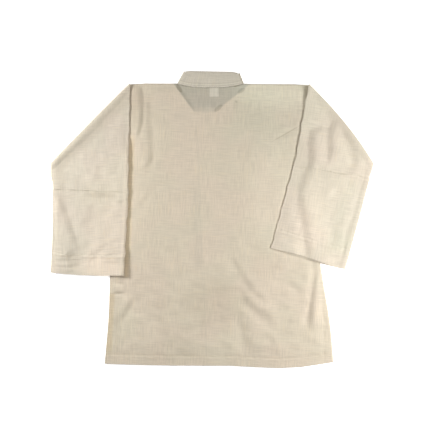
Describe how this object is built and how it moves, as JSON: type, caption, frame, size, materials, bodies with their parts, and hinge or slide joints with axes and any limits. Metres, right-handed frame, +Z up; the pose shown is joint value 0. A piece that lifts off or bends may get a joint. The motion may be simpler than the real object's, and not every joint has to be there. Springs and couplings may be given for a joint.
{
  "type": "kung fu jacket",
  "caption": "Stand-collar jacket in slubby cream cloth, laid flat with its back up and both wide sleeves folded over onto the back.",
  "frame": {"origin": "on the surface that the jacket lies on, under the middle of its outline", "axes": "+Z up from that surface, +Y towards the collar, +X towards the wearer's right sleeve"},
  "size_m": [0.8508, 0.7805, 0.0135],
  "materials": {
    "body_cloth": "slubby plain weave",
    "sleeve_cloth": "slubby plain weave",
    "collar_cloth": "double cloth band, edge stitched",
    "label_cloth": "plain blank tape",
    "frog_cord": "self-fabric cord"
  },
  "bodies": {
    "root": {"back": "body_cloth", "front_left": "body_cloth", "front_right": "body_cloth", "sleeve_left": "sleeve_cloth", "sleeve_right": "sleeve_cloth", "collar": "collar_cloth", "neck_label": "label_cloth", "frog_1": "frog_cord", "frog_2": "frog_cord", "frog_3": "frog_cord", "frog_4": "frog_cord", "frog_5": "frog_cord", "frog_6": "frog_cord", "frog_7": "frog_cord"}
  },
  "joints": []
}
